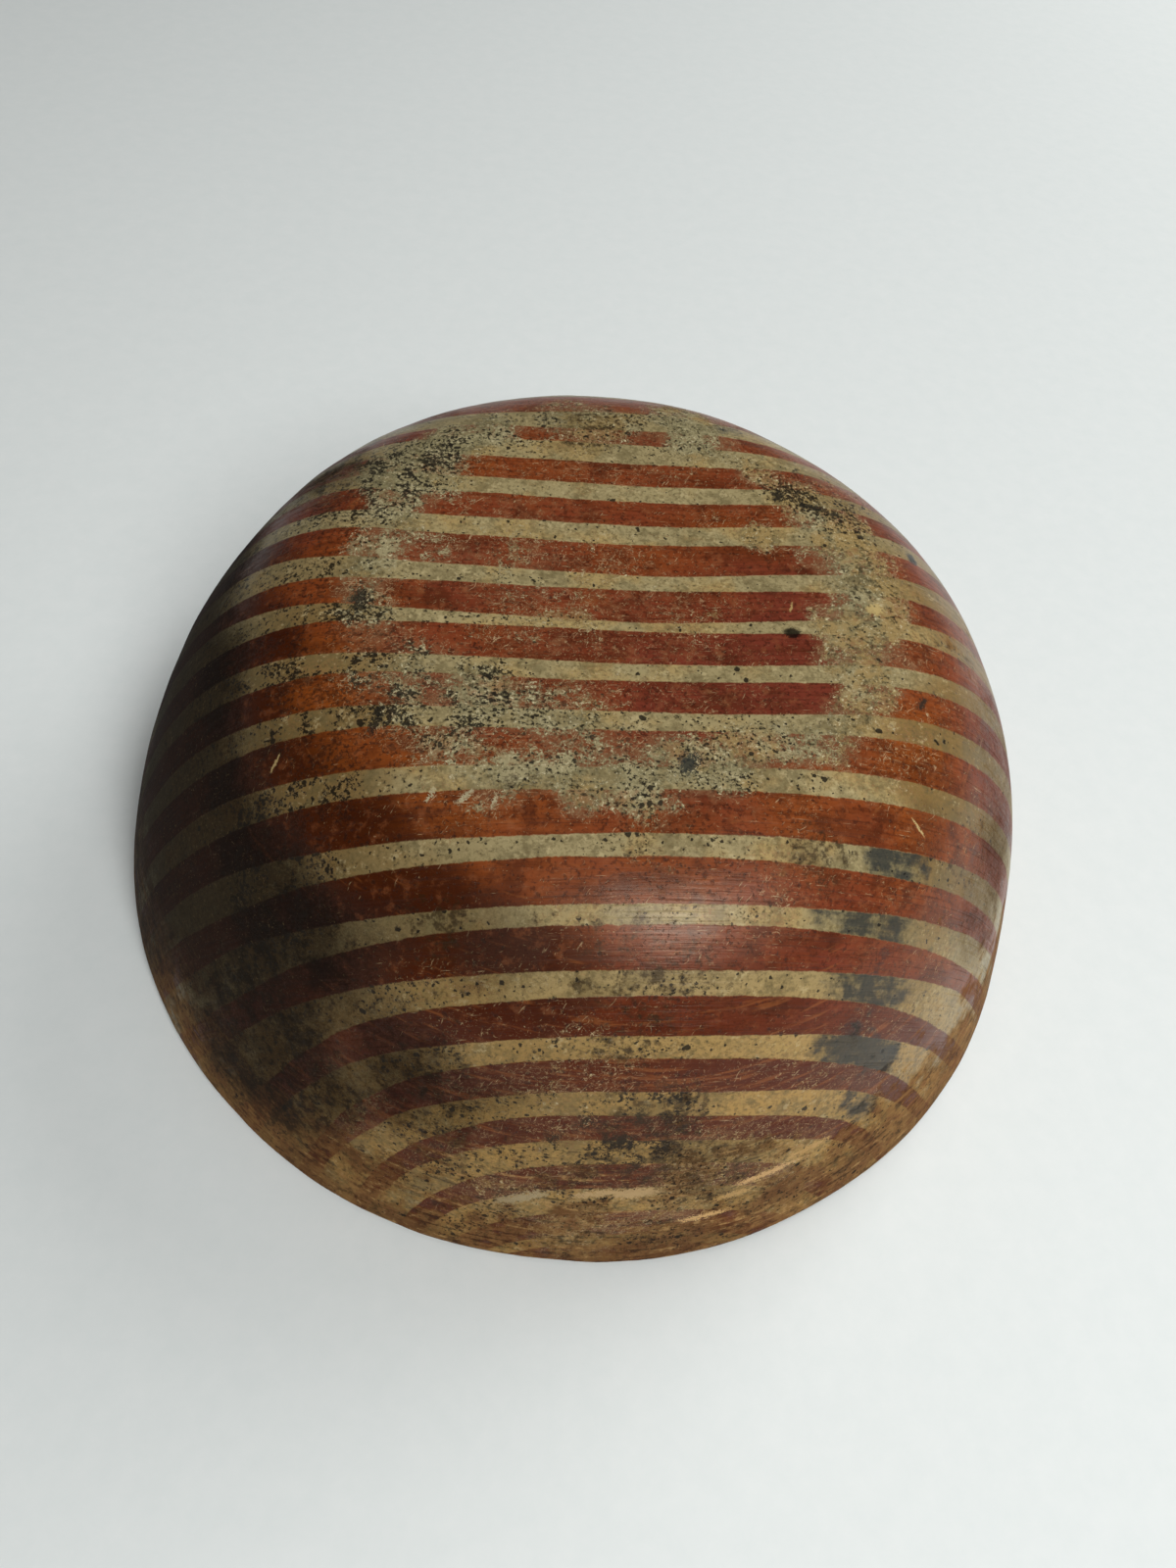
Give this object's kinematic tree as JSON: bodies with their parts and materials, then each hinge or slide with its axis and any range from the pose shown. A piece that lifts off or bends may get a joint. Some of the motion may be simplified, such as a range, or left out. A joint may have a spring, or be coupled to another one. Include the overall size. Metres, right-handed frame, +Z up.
{
  "type": "pottery bowl",
  "caption": "Round hand-built pottery bowl with a dished base, burnished, with red bands on cream slip, lying mouth down.",
  "frame": {"origin": "middle of the mouth, in the plane of the lip that the bowl rests on", "axes": "+Z up, from the mouth to the base, because the bowl lies mouth down as in the picture; +X along the painted bands; turned half over about X for use"},
  "size_m": [0.2194, 0.2204, 0.0815],
  "materials": {
    "burnished_slip_paint": "burnished satin"
  },
  "bodies": {
    "root": {"fired_clay_bowl": "burnished_slip_paint"}
  },
  "joints": []
}
